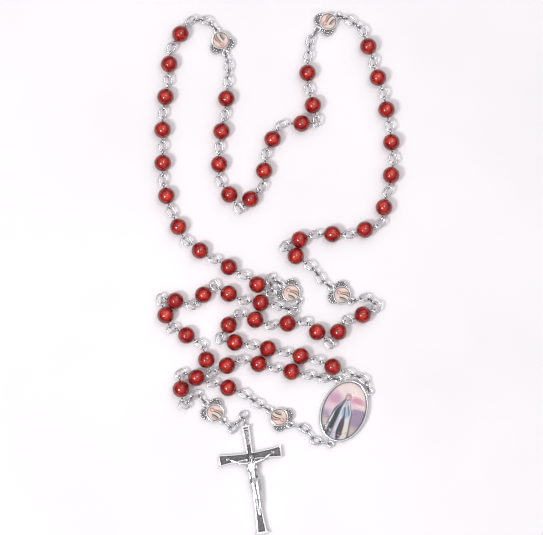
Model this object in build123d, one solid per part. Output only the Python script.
from build123d import *
import math
import os

# A five-decade rosary laid out flat.
# Millimetres, +Z up. The origin is on the table under the middle of the oval centrepiece.
# The loop of beads lies towards +Y, the crucifix towards -Y and the pendant to the left, -X.

# ---------------------------------------------------------------- driving dimensions
# Ring radii run to the middle of the wire.
BEAD_DIAMETER = 6.2
BEAD_BORE = 0.76
WIRE = 0.6
CLEARANCE = 0.05
OPEN_GAP = 0.3
FIT_GAP = 0.03

EYE_RADIUS = 0.7
LINK_RADIUS = 1.25
LINK_STRAIGHT = 1.3
LOOP_RADIUS = 1.0
JUMP_RADIUS = 1.5

BEAD_HEIGHT = BEAD_DIAMETER / 2
EYE_FROM_BEAD = BEAD_DIAMETER / 2 + CLEARANCE + WIRE / 2 + EYE_RADIUS
LOOP_HEIGHT = 1.6
PIN_LENGTH = 2 * EYE_FROM_BEAD

CENTRE_UP = 68
CENTRE_LENGTH = 23.1
CENTRE_WIDTH = 16.7
CENTRE_THICKNESS = 2.7
CENTRE_FLOOR = 1.2
CENTRE_RIM = 0.85
CENTRE_EDGE_ROUND = 0.3
CENTRE_LOOP_ACROSS = 6.1
CENTRE_LOOP_UP = 9.9
CENTRE_LOOP_DOWN = 12.95
CENTRE_NECK = 2.0
PICTURE_THICKNESS = 0.3
DOME_SKIRT_SUNK = 0.4
DOME_SHOULDER_RISE = 0.75
DOME_SHOULDER_SHARE = 0.72
DOME_RISE = 1.3
DOME_CROWN_SHARE = 0.36

HEART_LOOPS_APART = 8.8
HEART_THICKNESS = 2.2
HEART_LOBE_RADIUS = 2.35
HEART_LOBE_BACK = 1.5
HEART_LOBE_SIDE = 2.2
HEART_TIP = 3.6
HEART_PICTURE_DIAMETER = 5.6
HEART_PICTURE_OFFSET = 0.4
HEART_BEZEL = 0.45
HEART_NECK = 2.0
NECK_WIDTH = 0.9

CROSS_LENGTH = 39.5
CROSS_BAR = 22.7
CROSS_BAR_DOWN = 11.2
CROSS_THICKNESS = 2.0
CROSS_BAR_WAIST = 2.6
CROSS_BAR_END = 4.2
CROSS_TOP_WIDTH = 2.7
CROSS_TOP_WAIST = 2.1
CROSS_FOOT_WIDTH = 3.6
CROSS_FOOT_WAIST = 2.3
CROSS_FOOT_WAIST_DOWN = 24.5
CROSS_PLINTH_WIDTH = 4.6
CROSS_PLINTH_HEIGHT = 0.9
CROSS_CAP_WIDTH = 3.6
CROSS_CAP_HEIGHT = 0.7
CROSS_BORDER = 0.4
CROSS_RECESS = 0.5
BAIL_NECK = 1.5
BAIL_NECK_OVERLAP = 0.2
BAIL_TO_TOP = 1.8

# The figure, measured from the middle of its shoulders: down the post, out along the crossbar.
SHOULDER_DOWN = 2.3
FIGURE_LIFT = 0.7
SWAY = 0.3
CHEST_RADIUS = 1.45
WAIST_DOWN = 5.0
WAIST_RADIUS = 1.1
HIP_DOWN = 9.5
HIP_RADIUS = 1.3
THIGH_APART = 0.45
THIGH_RADIUS = 0.85
KNEE_DOWN = 13.2
KNEE_APART = 0.3
KNEE_RADIUS = 0.65
ANKLE_DOWN = 18.4
ANKLE_APART = 0.2
ANKLE_RADIUS = 0.42
SHOULDER_OUT = 0.9
ARM_RADIUS = 0.7
ELBOW_UP = 0.3
ELBOW_OUT = 4.4
ELBOW_RADIUS = 0.5
HAND_UP = 2.2
HAND_OUT = 7.9
HAND_RADIUS = 0.38
NECK_UP = 1.4
NECK_RADIUS = 0.55
HEAD_UP = 1.9
HEAD_RADIUS = 1.1

# ---------------------------------------------------------------- the way the strands lie
# Headings are whole degrees counter-clockwise from +X. In a decade each bead is followed by the
# flat link after it; a run is four links between a loop and a bead.
LEFT_RUN = (176, 171, 170, 169)
DECADE_1 = (168, 168, 165, 163, -154, -148, 106, 143, 149, -149,
            109, 94, -13, -25, 47, -60, -27, -2, -8)
TO_HEART_A = (-25, -16, -28, 67)
HEART_A = 138
FROM_HEART_A = (147, -107, -76, 178)
DECADE_2 = (144, 160, 150, 175, 145, 150, 115, 120, 105, 90,
            90, 95, 90, 85, 80, 95, 85, 70, 55)
TO_HEART_C = (35, 0, -20, -45)
HEART_C = -70
FROM_HEART_C = (-75, -85, -95, -85)
DECADE_3_START = (-95, -105, -100, -85, -90, -65, -55, -55, 45, 60, 85, 85)

RIGHT_RUN = (112, 140, 162, 158)
DECADE_5 = (157, 162, 166, 171, 168, 162, 172, 99, 52, -13,
            -23, 6, 7, -1, -43, -47, 59, -32, 24)
TO_HEART_B = (79, 143, -172, -165)
HEART_B = 145
FROM_HEART_B = (143, 114, 132, 144)
DECADE_4 = (145, 55, 20, 5, 0, -10, 20, 45, 80, 55,
            80, 105, 95, 105, 100, 100, 110, 80, 110)
TO_HEART_D = (115, 140, 145, 160)
HEART_D = -145
FROM_HEART_D = (-125, -105, -95, -105)
DECADE_3_END = (-90, -65, -75, -95)

PENDANT_RUN = (166, 164, 128, 150, 169)
PENDANT_HEART_UPPER = 144
TO_PENDANT_BEADS = (150, 149, 146, 143)
PENDANT_BEADS = (161, -179, 159, -151, -83)
FROM_PENDANT_BEADS = (-19, 54, 13, -50)
PENDANT_HEART_LOWER = -45
TO_JUMP_RING = (-42, 65, 47)
CRUCIFIX_HEADING = -81


def heading_vector(degrees):
    angle = math.radians(degrees)
    return Vector(math.cos(angle), math.sin(angle), 0)


def ring_spacing(first_radius, second_radius):
    """Distance between the centres of two interlocked rings pulled nearly taut."""
    return first_radius + second_radius - WIRE - CLEARANCE


def open_spacing(first_radius, second_radius):
    """Distance between the centres of two rings that lie side by side, unhooked."""
    return first_radius + second_radius + WIRE + OPEN_GAP


# ---------------------------------------------------------------- laying out a strand
class Piece:
    """One rigid piece of a strand: its ring centres, heading and the segment it belongs to."""

    def __init__(self, segment, kind, start, end, heading):
        self.segment = segment
        self.kind = kind
        self.start = start
        self.end = end
        self.heading = heading

    def location(self):
        along = (self.end - self.start).normalized()
        across = Vector(0, 0, 1).cross(along)
        return Location(Plane(origin=self.start, x_dir=along, z_dir=along.cross(across)))


class Strand:
    """Walks from loop to loop. Flat and upright rings alternate, so every pair interlocks; the
    gap between two ring centres lies along the heading of the upright one."""

    def __init__(self, loop_centre):
        self.position = loop_centre
        self.radius = LOOP_RADIUS
        self.heading = None
        self.pieces = []

    def add(self, segment, kind, heading, length, radius, upright, rise=0.0):
        gap = ring_spacing(self.radius, radius)
        gap_heading = heading if upright else self.heading
        start = self.position + heading_vector(gap_heading) * gap
        plan_length = math.sqrt(length**2 - rise**2)
        end = start + heading_vector(heading) * plan_length + Vector(0, 0, rise)
        self.pieces.append(Piece(segment, kind, start, end, heading))
        self.position = end
        self.heading = heading
        self.radius = radius

    def links(self, segment, headings, upright_first=True, rise=0.0):
        """A run of links, flat and upright in turn; the upright ones share the rise."""
        upright = upright_first
        upright_count = (len(headings) + upright_first) // 2
        for heading in headings:
            kind = "upright_link" if upright else "flat_link"
            climb = rise / upright_count if upright else 0.0
            self.add(segment, kind, heading, LINK_STRAIGHT, LINK_RADIUS, upright, climb)
            upright = not upright

    def climb_to_bead(self, segment, headings):
        self.links(segment, headings, True, BEAD_HEIGHT - LOOP_HEIGHT)

    def drop_to_loop(self, segment, headings):
        self.links(segment, headings, False, LOOP_HEIGHT - BEAD_HEIGHT)

    def bead(self, segment, heading):
        self.add(segment, "bead", heading, PIN_LENGTH, EYE_RADIUS, True)

    def flat_link(self, segment, heading):
        self.add(segment, "flat_link", heading, LINK_STRAIGHT, LINK_RADIUS, False)

    def heart(self, name, heading, kind):
        self.add(name, kind, heading, HEART_LOOPS_APART, LOOP_RADIUS, False)

    def beads(self, segments, headings):
        """Beads with flat links between them; segments lists each bead's segment in turn. A link
        belongs to the segment of the bead that comes after it."""
        for number, heading in enumerate(headings):
            segment = segments[min((number + 1) // 2, len(segments) - 1)]
            if number % 2 == 0:
                self.bead(segment, heading)
            else:
                self.flat_link(segment, heading)


def segment_list(*groups):
    """Expands ("decade_1a", 4), ... into one segment name per bead."""
    return [name for name, count in groups for _ in range(count)]


def centre_point(across, up):
    """A point of the centrepiece, given across and up its own axis."""
    up_vector = heading_vector(CENTRE_UP)
    across_vector = heading_vector(CENTRE_UP - 90)
    return across_vector * across + up_vector * up + Vector(0, 0, LOOP_HEIGHT)


def left_strand():
    strand = Strand(centre_point(-CENTRE_LOOP_ACROSS, CENTRE_LOOP_UP))
    strand.climb_to_bead("decade_1a", LEFT_RUN)
    strand.beads(segment_list(("decade_1a", 4), ("decade_1b", 3), ("decade_1c", 3)), DECADE_1)
    strand.drop_to_loop("decade_1c", TO_HEART_A)
    strand.heart("heart_a", HEART_A, "heart_tip_first")
    strand.climb_to_bead("decade_2a", FROM_HEART_A)
    strand.beads(segment_list(("decade_2a", 4), ("decade_2b", 3), ("decade_2c", 3)), DECADE_2)
    strand.drop_to_loop("decade_2c", TO_HEART_C)
    strand.heart("heart_c", HEART_C, "heart_tip_first")
    strand.climb_to_bead("decade_3a", FROM_HEART_C)
    strand.beads(segment_list(("decade_3a", 3), ("decade_3b", 4)), DECADE_3_START)
    return strand


def right_strand():
    strand = Strand(centre_point(CENTRE_LOOP_ACROSS, CENTRE_LOOP_UP))
    strand.climb_to_bead("decade_5a", RIGHT_RUN)
    strand.beads(segment_list(("decade_5a", 3), ("decade_5b", 3), ("decade_5c", 4)), DECADE_5)
    strand.drop_to_loop("decade_5c", TO_HEART_B)
    strand.heart("heart_b", HEART_B, "heart_tip_first")
    strand.climb_to_bead("decade_4a", FROM_HEART_B)
    strand.beads(segment_list(("decade_4a", 4), ("decade_4b", 3), ("decade_4c", 3)), DECADE_4)
    strand.drop_to_loop("decade_4c", TO_HEART_D)
    strand.heart("heart_d", HEART_D, "heart_tip_first")
    strand.climb_to_bead("decade_3c", FROM_HEART_D)
    strand.beads(segment_list(("decade_3c", 3)), DECADE_3_END)
    return strand


def corner_angle(near, far, opposite):
    """Angle in degrees between two sides of a triangle, from the lengths of all three."""
    return math.degrees(math.acos((near**2 + far**2 - opposite**2) / (2 * near * far)))


def close_loop(left, right):
    """Adds the last bead of each strand and the link between them, as a shallow elbow across the
    space left between the strand ends. The link lies unhooked beside the right strand's eye, so
    the loop is open at this one pivot."""
    span = right.position - left.position
    hooked = ring_spacing(EYE_RADIUS, LINK_RADIUS)
    left_edge = PIN_LENGTH + 2 * hooked
    right_edge = PIN_LENGTH + hooked + open_spacing(EYE_RADIUS, LINK_RADIUS)
    across = span.length - LINK_STRAIGHT
    base = math.degrees(math.atan2(span.Y, span.X))
    left.bead("decade_3b", base + corner_angle(left_edge, across, right_edge))
    left.flat_link("decade_3b", base)
    right.bead("decade_3c", base + 180 - corner_angle(right_edge, across, left_edge))


def pendant_strand():
    strand = Strand(centre_point(0, -CENTRE_LOOP_DOWN))
    strand.links("upper_chain", PENDANT_RUN)
    strand.heart("pendant_heart_upper", PENDANT_HEART_UPPER, "heart_notch_first")
    strand.climb_to_bead("middle_chain", TO_PENDANT_BEADS)
    strand.bead("pendant_bead_1", PENDANT_BEADS[0])
    strand.flat_link("pendant_link_1", PENDANT_BEADS[1])
    strand.bead("pendant_bead_2", PENDANT_BEADS[2])
    strand.flat_link("pendant_link_2", PENDANT_BEADS[3])
    strand.bead("pendant_bead_3", PENDANT_BEADS[4])
    strand.drop_to_loop("lower_chain", FROM_PENDANT_BEADS)
    strand.heart("pendant_heart_lower", PENDANT_HEART_LOWER, "heart_notch_first")
    strand.links("crucifix_chain", TO_JUMP_RING)
    strand.add("jump_ring", "jump_ring", 0, 0, JUMP_RADIUS, False)
    strand.add("crucifix", "crucifix", CRUCIFIX_HEADING, CROSS_LENGTH, LOOP_RADIUS, True)
    return strand


def lay_out():
    left = left_strand()
    right = right_strand()
    close_loop(left, right)
    return left, right, pendant_strand()


# ---------------------------------------------------------------- wire parts
def wire_ring(radius):
    """A closed ring of round wire lying flat, centred on the origin."""
    return Torus(radius, WIRE / 2)


def flat_link():
    """An oval link lying flat, with its first arc centre at the origin and the other along +X."""
    path = SlotCenterToCenter(LINK_STRAIGHT, 2 * LINK_RADIUS).wire()
    section = Plane(origin=(0, LINK_RADIUS, 0), z_dir=(1, 0, 0)) * Circle(WIRE / 2)
    link = sweep(section, path=path)
    return Pos(LINK_STRAIGHT / 2, 0, 0) * link


def eye_pin():
    """A straight wire with an upright eye at each end; the first eye is centred on the origin."""
    eye = Rot(90, 0, 0) * wire_ring(EYE_RADIUS)
    shaft_length = PIN_LENGTH - 2 * EYE_RADIUS
    shaft = Pos(PIN_LENGTH / 2, 0, 0) * Rot(0, 90, 0) * Cylinder(WIRE / 2, shaft_length)
    return (shaft + eye + Pos(PIN_LENGTH, 0, 0) * eye).solid()


def bead():
    """A round stone bead drilled along X, placed as it sits on its eye pin."""
    ball = Sphere(BEAD_DIAMETER / 2)
    bore = Rot(0, 90, 0) * Cylinder(BEAD_BORE / 2, 2 * BEAD_DIAMETER)
    return (Pos(EYE_FROM_BEAD, 0, 0) * (ball - bore)).solid()


# ---------------------------------------------------------------- heart medals
def heart_outline():
    """Heart with its lobes towards -X and its tip towards +X."""
    centre = Vector(-HEART_LOBE_BACK, HEART_LOBE_SIDE)
    to_tip = Vector(HEART_TIP, 0) - centre
    swing = math.acos(HEART_LOBE_RADIUS / to_tip.length)
    bearing = math.degrees(math.atan2(to_tip.Y, to_tip.X) + swing)
    tangent = centre + heading_vector(bearing) * HEART_LOBE_RADIUS
    middle = Polygon(
        (HEART_TIP, 0),
        (tangent.X, tangent.Y),
        (centre.X, centre.Y),
        (centre.X, -centre.Y),
        (tangent.X, -tangent.Y),
        align=None,
    )
    lobes = [Pos(centre.X, side * centre.Y) * Circle(HEART_LOBE_RADIUS) for side in (1, -1)]
    return middle + lobes


def heart_medal():
    """Medal with a round bezel on both faces and a loop at the notch and at the tip; the notch
    loop is centred on the origin and the tip loop lies along +X."""
    middle = HEART_LOOPS_APART / 2
    plate_thickness = HEART_THICKNESS - 2 * HEART_BEZEL
    plate = extrude(heart_outline(), amount=plate_thickness / 2, both=True)
    bezel = Cylinder(HEART_PICTURE_DIAMETER / 2 + HEART_BEZEL, HEART_THICKNESS)
    seat = Cylinder(HEART_PICTURE_DIAMETER / 2 + FIT_GAP, PICTURE_THICKNESS + HEART_BEZEL)
    seat_lift = (HEART_THICKNESS - PICTURE_THICKNESS - HEART_BEZEL) / 2
    body = plate + Pos(HEART_PICTURE_OFFSET, 0, 0) * bezel
    for side in (1, -1):
        body -= Pos(HEART_PICTURE_OFFSET, 0, side * seat_lift) * seat
    body = Pos(middle, 0, 0) * body
    neck = Pos(LOOP_RADIUS + HEART_NECK / 2, 0, 0) * Box(HEART_NECK, NECK_WIDTH, WIRE)
    body += neck + wire_ring(LOOP_RADIUS) + Pos(HEART_LOOPS_APART, 0, 0) * wire_ring(LOOP_RADIUS)
    return body.solid()


def heart_pictures():
    """The two printed discs, one in each face of the medal."""
    disc = Cylinder(HEART_PICTURE_DIAMETER / 2, PICTURE_THICKNESS)
    lift = (HEART_THICKNESS - PICTURE_THICKNESS) / 2 - HEART_BEZEL + FIT_GAP
    centre = HEART_LOOPS_APART / 2 + HEART_PICTURE_OFFSET
    return [(Pos(centre, 0, side * lift) * disc).solid() for side in (1, -1)]


# ---------------------------------------------------------------- centrepiece
def centre_plane():
    return Location(Plane(origin=(0, 0, 0), x_dir=heading_vector(CENTRE_UP), z_dir=(0, 0, 1)))


def centre_oval(inset, thickness, bottom):
    oval = Ellipse(CENTRE_LENGTH / 2 - inset, CENTRE_WIDTH / 2 - inset)
    return Pos(0, 0, bottom) * extrude(oval, amount=thickness)


def centre_frame():
    """Oval tray with a raised rim, and the three loops the strands hang on."""
    pocket = centre_oval(CENTRE_RIM, CENTRE_THICKNESS, CENTRE_FLOOR)
    tray = centre_oval(0, CENTRE_THICKNESS, 0) - pocket
    tray = fillet(tray.edges().group_by(Axis.Z)[-1], CENTRE_EDGE_ROUND)
    tray = fillet(tray.edges().group_by(Axis.Z)[0], CENTRE_EDGE_ROUND)
    for across, up in (
        (-CENTRE_LOOP_ACROSS, CENTRE_LOOP_UP),
        (CENTRE_LOOP_ACROSS, CENTRE_LOOP_UP),
        (0, -CENTRE_LOOP_DOWN),
    ):
        bearing = math.degrees(math.atan2(-across, up))
        neck = Pos(-LOOP_RADIUS - CENTRE_NECK / 2, 0, 0) * Box(CENTRE_NECK, 2 * WIRE, NECK_WIDTH)
        tray += Pos(up, -across, LOOP_HEIGHT) * Rot(0, 0, bearing) * (neck + wire_ring(LOOP_RADIUS))
    return (centre_plane() * (tray - pocket)).solid()


def centre_picture():
    card = centre_oval(CENTRE_RIM + FIT_GAP, PICTURE_THICKNESS, CENTRE_FLOOR + FIT_GAP)
    return (centre_plane() * card).solid()


def dome_oval(share, height):
    """An oval face of the dome at a height, as a share of its widest oval."""
    inset = CENTRE_RIM + FIT_GAP
    half_length = share * (CENTRE_LENGTH / 2 - inset)
    half_width = share * (CENTRE_WIDTH / 2 - inset)
    return Pos(0, 0, height) * Ellipse(half_length, half_width)


def centre_dome():
    """Clear domed cover over the picture: an upright skirt, a shoulder and a flatter crown."""
    bottom = CENTRE_FLOOR + PICTURE_THICKNESS + 2 * FIT_GAP
    skirt_top = CENTRE_THICKNESS - DOME_SKIRT_SUNK
    skirt = centre_oval(CENTRE_RIM + FIT_GAP, skirt_top - bottom, bottom)
    base = dome_oval(1, skirt_top)
    shoulder = dome_oval(DOME_SHOULDER_SHARE, skirt_top + DOME_SHOULDER_RISE)
    crown = dome_oval(DOME_CROWN_SHARE, skirt_top + DOME_RISE)
    dome = skirt + loft([base, shoulder]) + loft([shoulder, crown])
    return (centre_plane() * dome).solid()


# ---------------------------------------------------------------- crucifix
def waisted_bar(first_end, second_end, waist_at, end_width, waist, far_width):
    """Outline of a bar along X whose two long sides bow in to a waist, as arcs."""
    corners = []
    for side in (1, -1):
        near = (first_end, side * end_width / 2)
        middle = (waist_at, side * waist / 2)
        far = (second_end, side * far_width / 2)
        corners.append((near, middle, far))
    upper, lower = corners
    edges = [
        ThreePointArc(upper[0], upper[1], upper[2]),
        Line(upper[2], lower[2]),
        ThreePointArc(lower[2], lower[1], lower[0]),
        Line(lower[0], upper[0]),
    ]
    return make_face(Wire(edges))


def cross_outline():
    """Post along +X from the top of the cross, with the crossbar set across it."""
    bar_end = CROSS_BAR / 2
    top = waisted_bar(0, 2 * CROSS_BAR_DOWN, CROSS_BAR_DOWN, CROSS_TOP_WIDTH, CROSS_TOP_WAIST,
                      CROSS_TOP_WIDTH)
    foot = waisted_bar(CROSS_BAR_DOWN, CROSS_LENGTH, CROSS_FOOT_WAIST_DOWN, CROSS_FOOT_WIDTH,
                       CROSS_FOOT_WAIST, CROSS_FOOT_WIDTH)
    bar = waisted_bar(-bar_end, bar_end, 0, CROSS_BAR_END, CROSS_BAR_WAIST, CROSS_BAR_END)
    return top + foot + Pos(CROSS_BAR_DOWN, 0) * Rot(0, 0, 90) * bar


def crucifix_cross():
    """Cross with a recessed front, a cap, a plinth at the foot and an upright bail.
    The bail is centred on the origin and the post runs along +X."""
    outline = cross_outline()
    half = CROSS_THICKNESS / 2
    body = extrude(outline, amount=half, both=True)
    panel = offset(outline, amount=-CROSS_BORDER)
    body -= Pos(0, 0, half - CROSS_RECESS) * extrude(panel, amount=CROSS_RECESS)
    plinth = Box(CROSS_PLINTH_HEIGHT, CROSS_PLINTH_WIDTH, CROSS_THICKNESS)
    cap = Box(CROSS_CAP_HEIGHT, CROSS_CAP_WIDTH, CROSS_THICKNESS)
    body += Pos(CROSS_LENGTH - CROSS_PLINTH_HEIGHT / 2, 0, 0) * plinth
    body += Pos(CROSS_CAP_HEIGHT / 2, 0, 0) * cap
    bail = Rot(90, 0, 0) * wire_ring(LOOP_RADIUS)
    neck_middle = LOOP_RADIUS - BAIL_NECK_OVERLAP + BAIL_NECK / 2
    neck = Pos(neck_middle, 0, 0) * Box(BAIL_NECK, NECK_WIDTH, 2 * WIRE)
    return (Pos(BAIL_TO_TOP, 0, 0) * body + bail + neck).solid()


def limb(start, end, start_radius, end_radius):
    """A tapered round limb between two points, closed with a ball at the far end."""
    along = Vector(*end) - Vector(*start)
    plane = Plane(origin=start, z_dir=along)
    shaft = Cone(start_radius, end_radius, along.length, align=(Align.CENTER, Align.CENTER, Align.MIN))
    return plane.location * shaft + Pos(*end) * Sphere(end_radius)


def figure_point(down, across, rise=0):
    """A point of the figure, from the middle of its shoulders."""
    shoulder = BAIL_TO_TOP + CROSS_BAR_DOWN + SHOULDER_DOWN
    return (shoulder + down, across, CROSS_THICKNESS / 2 + FIT_GAP + FIGURE_LIFT + rise)


def figure_side(side):
    """One arm, raised to the crossbar, and one leg."""
    shoulder = figure_point(ARM_RADIUS, side * SHOULDER_OUT)
    elbow = figure_point(-ELBOW_UP, side * ELBOW_OUT)
    hand = figure_point(-HAND_UP, side * HAND_OUT)
    thigh = figure_point(HIP_DOWN - SWAY, SWAY + side * THIGH_APART)
    knee = figure_point(KNEE_DOWN, SWAY + side * KNEE_APART, SWAY / 2)
    ankle = figure_point(ANKLE_DOWN, SWAY / 2 + side * ANKLE_APART)
    arm = limb(shoulder, elbow, ARM_RADIUS, ELBOW_RADIUS) + limb(elbow, hand, ELBOW_RADIUS, HAND_RADIUS)
    leg = limb(thigh, knee, THIGH_RADIUS, KNEE_RADIUS) + limb(knee, ankle, KNEE_RADIUS, ANKLE_RADIUS)
    return arm + leg


def crucifix_corpus():
    """The figure: head, body, arms raised to the crossbar, legs together. Its flat back rests on
    the raised border of the cross."""
    chest = figure_point(0, 0)
    waist = figure_point(WAIST_DOWN, SWAY / 2)
    hips = figure_point(HIP_DOWN, SWAY)
    neck = figure_point(-NECK_UP, SWAY, SWAY)
    figure = limb(chest, waist, CHEST_RADIUS, WAIST_RADIUS) + limb(waist, hips, WAIST_RADIUS, HIP_RADIUS)
    figure += figure_side(1) + figure_side(-1)
    figure += limb(figure_point(NECK_RADIUS, 0), neck, ARM_RADIUS, NECK_RADIUS)
    figure += Pos(*figure_point(-HEAD_UP, SWAY, SWAY)) * Sphere(HEAD_RADIUS)
    back = CROSS_THICKNESS / 2 + FIT_GAP
    in_front = Pos(0, 0, back + CROSS_BAR / 2) * Box(3 * CROSS_LENGTH, CROSS_BAR, CROSS_BAR)
    return (figure & in_front).solid()


# ---------------------------------------------------------------- writing the nodes
def write_node(name, solids):
    shape = solids[0] if len(solids) == 1 else Compound(children=solids)
    export_step(shape, os.path.join("parts", name + ".step"))


def write_strand(pieces):
    """Places every wire part and bead of a strand and writes one node per segment and kind."""
    link = flat_link()
    upright_link = Rot(90, 0, 0) * link
    pin = eye_pin()
    stone = bead()
    nodes = {}
    for piece in pieces:
        if piece.kind == "bead":
            beads_name, chain_name = bead_node_names(piece.segment)
            nodes.setdefault(beads_name, []).append(piece.location() * stone)
            nodes.setdefault(chain_name, []).append(piece.location() * pin)
        elif piece.kind in ("flat_link", "upright_link"):
            shape = link if piece.kind == "flat_link" else upright_link
            nodes.setdefault(link_node_name(piece.segment), []).append(piece.location() * shape)
    for name, solids in nodes.items():
        write_node(name, solids)


def bead_node_names(segment):
    if segment.startswith("decade"):
        return segment + "_beads", segment + "_chain"
    return segment, segment.replace("bead", "eye_pin")


def link_node_name(segment):
    if segment.startswith("decade"):
        return segment + "_chain"
    return segment


def write_hearts(pieces):
    medal = heart_medal()
    pictures = heart_pictures()
    for piece in pieces:
        if not piece.kind.startswith("heart"):
            continue
        place = piece.location()
        if piece.kind == "heart_tip_first":
            place = place * Pos(HEART_LOOPS_APART, 0, 0) * Rot(0, 0, 180)
        write_node(piece.segment + "_medal", [place * medal])
        write_node(piece.segment + "_pictures", [place * picture for picture in pictures])


def write_crucifix(pieces):
    for piece in pieces:
        if piece.kind == "crucifix":
            place = piece.location()
            write_node("crucifix_cross", [place * crucifix_cross()])
            write_node("crucifix_corpus", [place * crucifix_corpus()])


def write_jump_ring(pieces):
    for piece in pieces:
        if piece.kind == "jump_ring":
            write_node("jump_ring", [Pos(*piece.start) * wire_ring(JUMP_RADIUS)])


def main():
    os.makedirs("parts", exist_ok=True)
    write_node("centrepiece_frame", [centre_frame()])
    write_node("centrepiece_picture", [centre_picture()])
    write_node("centrepiece_dome", [centre_dome()])
    for strand in lay_out():
        write_strand(strand.pieces)
        write_hearts(strand.pieces)
    pendant = pendant_strand().pieces
    write_jump_ring(pendant)
    write_crucifix(pendant)


if __name__ == "__main__":
    main()
